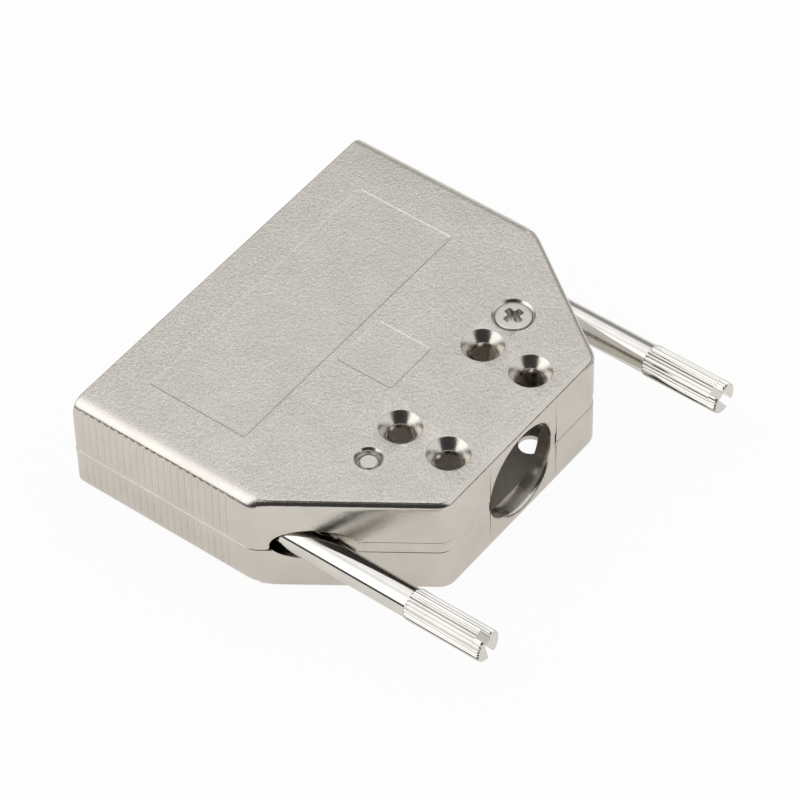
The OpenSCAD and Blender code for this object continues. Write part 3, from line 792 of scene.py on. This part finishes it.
def assembly_screw(size):
    """The countersunk screw whose head shows in the top face: a section turned round its axis,
    with a thread below the head and a cross recess that narrows downwards."""
    shape = Shape()
    x, y = POST_X, POST_Y
    top = HALF_H - size.screw_sunk
    tip = -HALF_H + size.tip_sunk
    shank = SHANK_R
    turn = full_turn(SCREW_POINTS)
    seat = HALF_H - (size.sink_r - HEAD_R) + 0.05
    neck = seat - (HEAD_R - shank)
    section = np.array([(HEAD_R - 0.3, top), (HEAD_R - 0.12, top - 0.012),
                        (HEAD_R - 0.04, top - 0.05), (HEAD_R, top - 0.11), (HEAD_R, seat),
                        (shank + 0.05, neck + 0.04), (shank, neck - 0.02)])
    z = np.linspace(neck - 0.1, tip, THREAD_ROWS)
    radius = thread(turn, -z, shank, SCREW_PITCH, -neck + 0.6, -tip, 0.5)
    radius = np.minimum(radius, size.tip_r + z - tip)
    radius = np.concatenate([section[:, 0] + 0 * turn, radius], 1)
    z = np.concatenate([section[:, 1], z])
    shape.tube(x, y, radius, z, SCREW_POINTS)
    tip_loop = circle(x, y, radius[:, -1], SCREW_POINTS)
    shape.fill([tip_loop], lambda p: at(p[:, 0], p[:, 1], tip))
    # The recess, as the distance by which its outline shrinks and how deep it is there
    steps = [(0.0, 0.0), (0.03, 0.04), (0.12, 0.35), (0.3, 0.75), (0.42, size.recess_depth)]
    loops = [cross(size.recess_span - 2 * d, size.recess_w - 0.45 * d, 0.12, (x, y),
                   size.recess_turn) for d, _ in steps]
    rows = np.stack([at(loop[:, 0], loop[:, 1], top - drop)
                     for loop, (_, drop) in zip(loops, steps)], 1)
    shape.grid(rows, around=True)
    shape.fill([loops[-1]], lambda p: at(p[:, 0], p[:, 1], top - size.recess_depth))
    rim = circle(x, y, radius[:, 0], SCREW_POINTS)
    shape.fill([rim, loops[0]], lambda p: at(p[:, 0], p[:, 1], top))
    return shape


# ---- shader tools ------------------------------------------------------------------------

class Value:
    """A number socket; Python's operators on it add Math nodes."""

    def __init__(self, paint, socket):
        self.paint, self.socket = paint, socket

    def _math(self, operation, *values):
        """The result of a Math node."""
        node = self.paint.node("ShaderNodeMath", {"operation": operation},
                               {i: value for i, value in enumerate(values)})
        return Value(self.paint, node.outputs[0])

    def __add__(self, other):
        return self._math("ADD", self, other)

    def __sub__(self, other):
        return self._math("SUBTRACT", self, other)

    def __mul__(self, other):
        return self._math("MULTIPLY", self, other)

    def __pow__(self, other):
        return self._math("POWER", self, other)

    def __rsub__(self, other):
        return self._math("SUBTRACT", other, self)

    __radd__, __rmul__ = __add__, __mul__

    def clamp(self):
        """Held between 0 and 1."""
        return self._math("MINIMUM", self._math("MAXIMUM", self, 0.0), 1.0)

    def step(self, low, high):
        """0 below low, 1 above high, smooth between."""
        node = self.paint.node("ShaderNodeMapRange", {"interpolation_type": "SMOOTHSTEP"},
                               {"Value": self, "From Min": low, "From Max": high})
        return Value(self.paint, node.outputs["Result"])


class Paint:
    """The nodes of one material or world."""

    def __init__(self, owner, output="ShaderNodeOutputMaterial"):
        owner.use_nodes = True
        self.owner, self.tree = owner, owner.node_tree
        self.tree.nodes.clear()
        self.output = self.node(output)

    def node(self, kind, settings=None, inputs=None):
        """A node of a kind: its settings first, then the values or links of its sockets."""
        node = self.tree.nodes.new(kind)
        for key, value in (settings or {}).items():
            setattr(node, key, value)
        for key, value in (inputs or {}).items():
            socket = node.inputs[key]
            if isinstance(value, Value):
                value = value.socket
            if isinstance(value, bpy.types.NodeSocket):
                self.tree.links.new(value, socket)
            else:
                socket.default_value = value
        return node

    def place(self):
        """The place on the piece, in metres."""
        return self.node("ShaderNodeTexCoord").outputs["Object"]

    def parts(self, vector):
        """A vector as three values."""
        split = self.node("ShaderNodeSeparateXYZ", None, {0: vector})
        return [Value(self, split.outputs[i]) for i in range(3)]

    def facing(self):
        """The surface's direction in the piece's own space, as three values."""
        return self.parts(self.node("ShaderNodeTexCoord").outputs["Normal"])

    def noise(self, size, detail=2.0, roughness=0.5, stretch=(1, 1, 1)):
        """Noise whose features are about size metres across, 0 to 1."""
        mapping = self.node("ShaderNodeMapping", None,
                            {"Vector": self.place(), "Scale": [1 / s for s in stretch]})
        node = self.node("ShaderNodeTexNoise", None,
                         {"Vector": mapping.outputs[0], "Scale": 1 / size, "Detail": detail,
                          "Roughness": roughness})
        return Value(self, node.outputs["Fac"])

    def mix(self, factor, first, second):
        """A colour between two colours."""
        node = self.node("ShaderNodeMix", {"data_type": "RGBA"}, {0: factor, 6: first, 7: second})
        return node.outputs[2]

    def bump(self, height, distance, strength):
        """A normal from a height of 0 to 1 that stands for a distance in metres."""
        inputs = {"Height": height, "Distance": distance, "Strength": strength}
        return self.node("ShaderNodeBump", None, inputs).outputs[0]

    def show(self, shader):
        """Links a shader to the output, and hands back what is painted."""
        self.tree.links.new(shader.outputs[0], self.output.inputs["Surface"])
        return self.owner

    def metal(self, colour_value, roughness, normal):
        """A bare metal."""
        return self.show(self.node("ShaderNodeBsdfPrincipled", None, {
            "Base Color": colour_value, "Metallic": 1.0, "Roughness": roughness,
            "Normal": normal}))


def tint(colour_value, factor):
    """A colour times a factor, with full alpha."""
    return tuple(min(1.0, part * factor) for part in colour_value) + (1.0,)


def cast_nickel(base):
    """Nickel plate on a casting: blasted and sparkling on the flat faces, smoother on the
    sides."""
    paint = Paint(bpy.data.materials.new("cast_nickel"))
    up = paint.facing()[2]
    flat = (up * up).step(0.80, 0.985)
    grain = paint.noise(0.00016, 2.0, 0.6)
    clumps = paint.noise(0.0005, 2.0, 0.5)
    patches = paint.noise(0.0045, 3.0, 0.55)
    shade = paint.mix(patches.step(0.3, 0.7), tint(base, 0.96), tint(base, 1.03))
    shade = paint.mix(grain.step(0.50, 0.66) * flat * 0.55, shade, tint(base, 0.60))
    shade = paint.mix(grain.step(0.46, 0.30) * flat * 0.6, shade, tint(base, 1.35))
    rough = flat * 0.16 + (clumps - 0.5) * 0.1 + 0.19
    height = grain * (flat * 1.1 + 0.35) + clumps * (flat * 1.1 + 0.35)
    normal = paint.bump(height, 0.00004, 0.9)
    return paint.metal(shade, rough, normal)


def turned_nickel(base):
    """Bright plate on a turned piece, with fine rings round the axis."""
    paint = Paint(bpy.data.materials.new("turned_nickel"))
    rings = paint.noise(0.0016, 3.0, 0.6, stretch=(40, 0.12, 40))
    cloud = paint.noise(0.003, 2.0, 0.5)
    shade = paint.mix(cloud.step(0.3, 0.7), tint(base, 0.96), tint(base, 1.03))
    rough = 0.07 + cloud * 0.05
    normal = paint.bump(rings, 0.000004, 0.5)
    return paint.metal(shade, rough, normal)


def screw_nickel(base):
    """Satin plate on a cold-formed screw."""
    paint = Paint(bpy.data.materials.new("screw_nickel"))
    cloud = paint.noise(0.0008, 3.0, 0.6)
    shade = paint.mix(cloud.step(0.3, 0.75), tint(base, 0.9), tint(base, 1.04))
    return paint.metal(shade, 0.2 + cloud * 0.12, paint.bump(cloud, 0.00001, 0.6))


def spring_steel(base):
    """Plain spring steel with a fine rolled grain."""
    paint = Paint(bpy.data.materials.new("spring_steel"))
    grain = paint.noise(0.0003, 3.0, 0.6, stretch=(1, 6, 1))
    shade = paint.mix(grain, tint(base, 0.85), tint(base, 1.08))
    return paint.metal(shade, 0.3 + grain * 0.15, paint.bump(grain, 0.000008, 0.5))


def white_floor(base):
    """A pale matt floor. The camera sees it as nearly white with a faint shadow, and reflections
    see it as partly warm white."""
    paint = Paint(bpy.data.materials.new("white_floor"))
    tone = paint.noise(0.05, 2.0)
    shade = paint.mix(tone, tint(base, 0.995), tint(base, 1.0))
    matt = paint.node("ShaderNodeBsdfDiffuse", None, {"Color": shade})
    path = paint.node("ShaderNodeLightPath")
    cast = paint.mix(path.outputs["Is Glossy Ray"], (1, 1, 1, 1), (1, 0.965, 0.91, 1))
    glow = paint.node("ShaderNodeEmission", None, {"Color": cast, "Strength": 1.0})
    seen = Value(paint, path.outputs["Is Camera Ray"]) * 0.95
    seen = seen + Value(paint, path.outputs["Is Glossy Ray"]) * 0.6
    seen = seen + Value(paint, path.outputs["Is Transmission Ray"])
    mixed = paint.node("ShaderNodeMixShader", None,
                       {0: seen.clamp(), 1: matt.outputs[0], 2: glow.outputs[0]})
    return paint.show(mixed)


MATERIALS = {}


def material(name):
    """Each material is made once, from the colours of the sidebar."""
    if name not in MATERIALS:
        finishes = bpy.context.scene.hood_finishes
        recipes = {"casting": cast_nickel, "jackscrew": turned_nickel, "screw": screw_nickel,
                   "ring": spring_steel, "floor": white_floor}
        MATERIALS[name] = recipes[name](tuple(getattr(finishes, name)))
    return MATERIALS[name]


def dress(node, name):
    """Gives a CAD node's own slots a material."""
    for slot in frame["nodes"][node].material_slots:
        slot.material = material(name)


# ---- operators ---------------------------------------------------------------------------

class HOOD_OT_stage(bpy.types.Operator):
    """Make the floor, the studio light and the camera"""
    bl_idname = "hood.stage"
    bl_label = "Stage"

    def execute(self, context):
        floor_z = cad_box[0].z
        mesh = bpy.data.meshes.new("floor")
        corners = [(x * FLOOR_HALF, y * FLOOR_HALF, floor_z)
                   for x, y in ((-1, -1), (1, -1), (1, 1), (-1, 1))]
        mesh.from_pydata(corners, [], [(0, 1, 2, 3)])
        mesh.materials.append(material("floor"))
        floor = bpy.data.objects.new("floor", mesh)
        context.scene.collection.objects.link(floor)
        self.lamp(context)
        self.world(context)
        self.camera(context)
        return {"FINISHED"}

    def lamp(self, context):
        """A weak soft lamp that points at the object from above."""
        lamp = bpy.data.lights.new("overhead", "AREA")
        lamp.shape, lamp.energy = "RECTANGLE", LAMP_POWER
        lamp.size, lamp.size_y = LAMP_SIZE
        holder = bpy.data.objects.new("overhead", lamp)
        holder.location = LAMP_PLACE
        holder.rotation_mode = "QUATERNION"
        holder.rotation_quaternion = (-Vector(LAMP_PLACE)).to_track_quat("-Z", "Y")
        context.scene.collection.objects.link(holder)

    def world(self, context):
        """A white studio for the camera. For everything else a bright dome with a window at the
        left, over a dark belt at the horizon, and a dark side behind the camera."""
        world = bpy.data.worlds.new("studio")
        context.scene.world = world
        paint = Paint(world, "ShaderNodeOutputWorld")
        x, y, z = paint.parts(paint.node("ShaderNodeTexCoord").outputs["Generated"])
        # Each mask is 1 inside its part of the sky and 0 outside it
        toward = x * CAMERA_WAY[0] + y * CAMERA_WAY[1]
        across = (1 - z * z).clamp() ** 0.5
        dark_side = (toward - across * 0.62).step(-0.06, 0.10)
        away = (toward * -1).clamp()
        behind = away.step(0.50, 0.80)
        dome = (z - 0.22 - behind * 0.38).step(-0.05, 0.06)
        window = (x * WINDOW_WAY[0] + y * WINDOW_WAY[1] + z * WINDOW_WAY[2]).step(0.72, 0.95)
        overhead = z.step(0.86, 0.98)
        light = dome * (1 - dark_side * 0.97) * (window * 0.6 + overhead * 0.35 + 0.86)
        strength = light + behind * (1 - dome) * 0.32 + 0.02
        room = paint.node("ShaderNodeBackground", None,
                          {"Color": (1.0, 0.995, 0.985, 1.0), "Strength": strength})
        white = paint.node("ShaderNodeBackground", None, {"Color": (1, 1, 1, 1)})
        path = paint.node("ShaderNodeLightPath")
        mixed = paint.node("ShaderNodeMixShader", None,
                           {0: path.outputs["Is Camera Ray"], 1: room.outputs[0],
                            2: white.outputs[0]})
        paint.show(mixed)

    def camera(self, context):
        """The camera, at its place and along its three axes."""
        lens = bpy.data.cameras.new("camera")
        lens.sensor_width, lens.lens = SENSOR_W, CAMERA_LENS
        lens.shift_x, lens.shift_y = CAMERA_SHIFT
        lens.clip_start, lens.clip_end = 0.01, 20.0
        holder = bpy.data.objects.new("camera", lens)
        turn = Matrix((CAMERA_SIDE, CAMERA_RISE, CAMERA_BACK)).transposed().to_4x4()
        holder.matrix_world = Matrix.Translation(CAMERA_PLACE) @ turn
        context.scene.collection.objects.link(holder)
        context.scene.camera = holder
        context.scene.view_settings.view_transform = "Standard"


class HOOD_OT_shells(bpy.types.Operator):
    """Make both shells, which are one casting: the lower one is turned half a turn about Y"""
    bl_idname = "hood.shells"
    bl_label = "Shells"

    def execute(self, context):
        size = context.scene.hood_sizes
        for name, node, half_turn in (("top_casting", "upper_shell", False),
                                      ("bottom_casting", "lower_shell", True)):
            shape = upper_shell(size)
            add_channels(shape, size)
            if half_turn:
                shape.points = [points * [-1, 1, -1] for points in shape.points]
            shape.piece(name, HOOD, material("casting"), replaces=(node,),
                        slot="die_cast_nickel")
        return {"FINISHED"}


class HOOD_OT_jackscrews(bpy.types.Operator):
    """Make both jackscrews with their threads, knurled heads and slots"""
    bl_idname = "hood.jackscrews"
    bl_label = "Jackscrews"

    def execute(self, context):
        size = context.scene.screw_sizes
        for side, x, turn in (("left", -JACK_X, size.left_turn),
                              ("right", JACK_X, size.right_turn)):
            shape = jackscrew(size, x, turn)
            shape.piece(f"{side}_knurled_screw", f"screw_{side}", material("jackscrew"),
                        replaces=(f"jackscrew_{side}",), slot="jackscrew_nickel")
        return {"FINISHED"}


class HOOD_OT_assembly_screws(bpy.types.Operator):
    """Make both assembly screws: the lower one is turned half a turn about Y"""
    bl_idname = "hood.assembly_screws"
    bl_label = "Assembly screws"

    def execute(self, context):
        size = context.scene.screw_sizes
        for side, sign in (("top", 1), ("bottom", -1)):
            shape = assembly_screw(size)
            shape.points = [points * [sign, 1, sign] for points in shape.points]
            shape.piece(f"{side}_countersunk_screw", HOOD, material("screw"),
                        replaces=(f"assembly_screw_{side}",), slot="screw_nickel")
        return {"FINISHED"}


class HOOD_OT_dress(bpy.types.Operator):
    """Give the solids that stay in view their metals"""
    bl_idname = "hood.dress"
    bl_label = "Finishes"

    def execute(self, context):
        for node in ("retaining_ring_left", "retaining_ring_right"):
            dress(node, "ring")
        return {"FINISHED"}


OPERATORS = (HOOD_OT_stage, HOOD_OT_shells, HOOD_OT_jackscrews, HOOD_OT_assembly_screws,
             HOOD_OT_dress)


class HOOD_PT_panel(bpy.types.Panel):
    """Lists the operators and the sizes"""
    bl_idname = "HOOD_PT_panel"
    bl_label = "D-sub hood"
    bl_space_type = "VIEW_3D"
    bl_region_type = "UI"
    bl_category = "D-sub hood"

    def draw(self, context):
        for operator in OPERATORS:
            self.layout.operator(operator.bl_idname)
        for group in (context.scene.hood_sizes, context.scene.screw_sizes,
                      context.scene.hood_finishes):
            for name in group.bl_rna.properties.keys():
                if name not in ("rna_type", "name"):
                    self.layout.prop(group, name)


CLASSES = (HoodSizes, ScrewSizes, Finishes, *OPERATORS, HOOD_PT_panel)


def register():
    """Adds the classes and their settings."""
    for cls in CLASSES:
        bpy.utils.register_class(cls)
    bpy.types.Scene.hood_sizes = PointerProperty(type=HoodSizes)
    bpy.types.Scene.screw_sizes = PointerProperty(type=ScrewSizes)
    bpy.types.Scene.hood_finishes = PointerProperty(type=Finishes)


def unregister():
    """Takes the classes and their settings away."""
    del bpy.types.Scene.hood_sizes
    del bpy.types.Scene.screw_sizes
    del bpy.types.Scene.hood_finishes
    for cls in reversed(CLASSES):
        bpy.utils.unregister_class(cls)


def main():
    """Registers the add-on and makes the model."""
    register()
    for operator in OPERATORS:
        group, name = operator.bl_idname.split(".")
        getattr(getattr(bpy.ops, group), name)()


if __name__ == "__main__":
    main()
